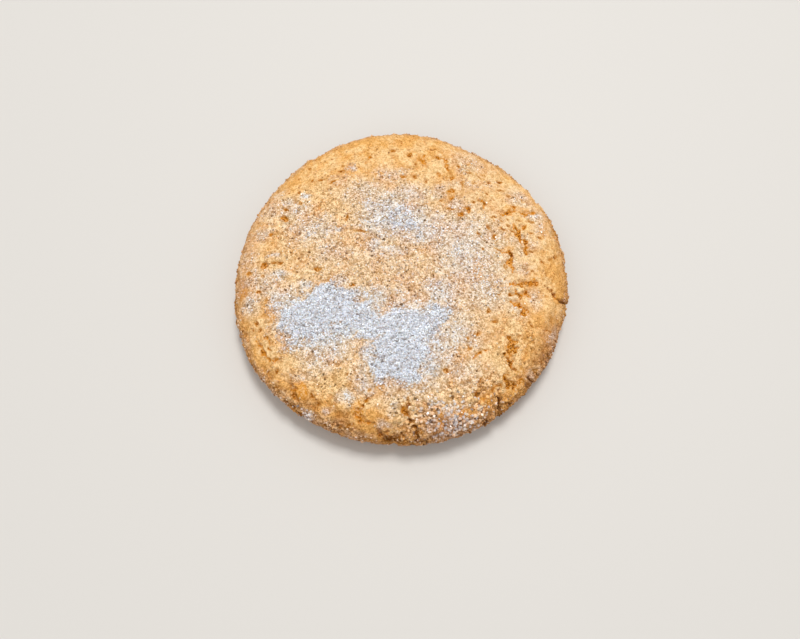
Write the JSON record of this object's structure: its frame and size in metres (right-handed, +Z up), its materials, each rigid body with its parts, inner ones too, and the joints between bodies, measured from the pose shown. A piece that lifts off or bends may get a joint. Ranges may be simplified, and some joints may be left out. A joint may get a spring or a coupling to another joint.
{
  "type": "polvoron",
  "caption": "Thick round crumbly biscuit with a flat base, rounded shoulder, cracked top and heaps of white sugar.",
  "frame": {"origin": "middle of the box of the flat base, on the surface that the biscuit rests on", "axes": "+Z up through the thickness, +X to the right and -Y towards the camera in the picture"},
  "size_m": [0.0745, 0.0765, 0.0133],
  "materials": {
    "crust": "dry, matt, sandy baked crumb, pale gold with a browner rim and amber in the cracks",
    "sugar": "loose clear-white granulated sugar with small bright glints"
  },
  "bodies": {
    "root": {"polvoron": "crust"}
  },
  "joints": []
}
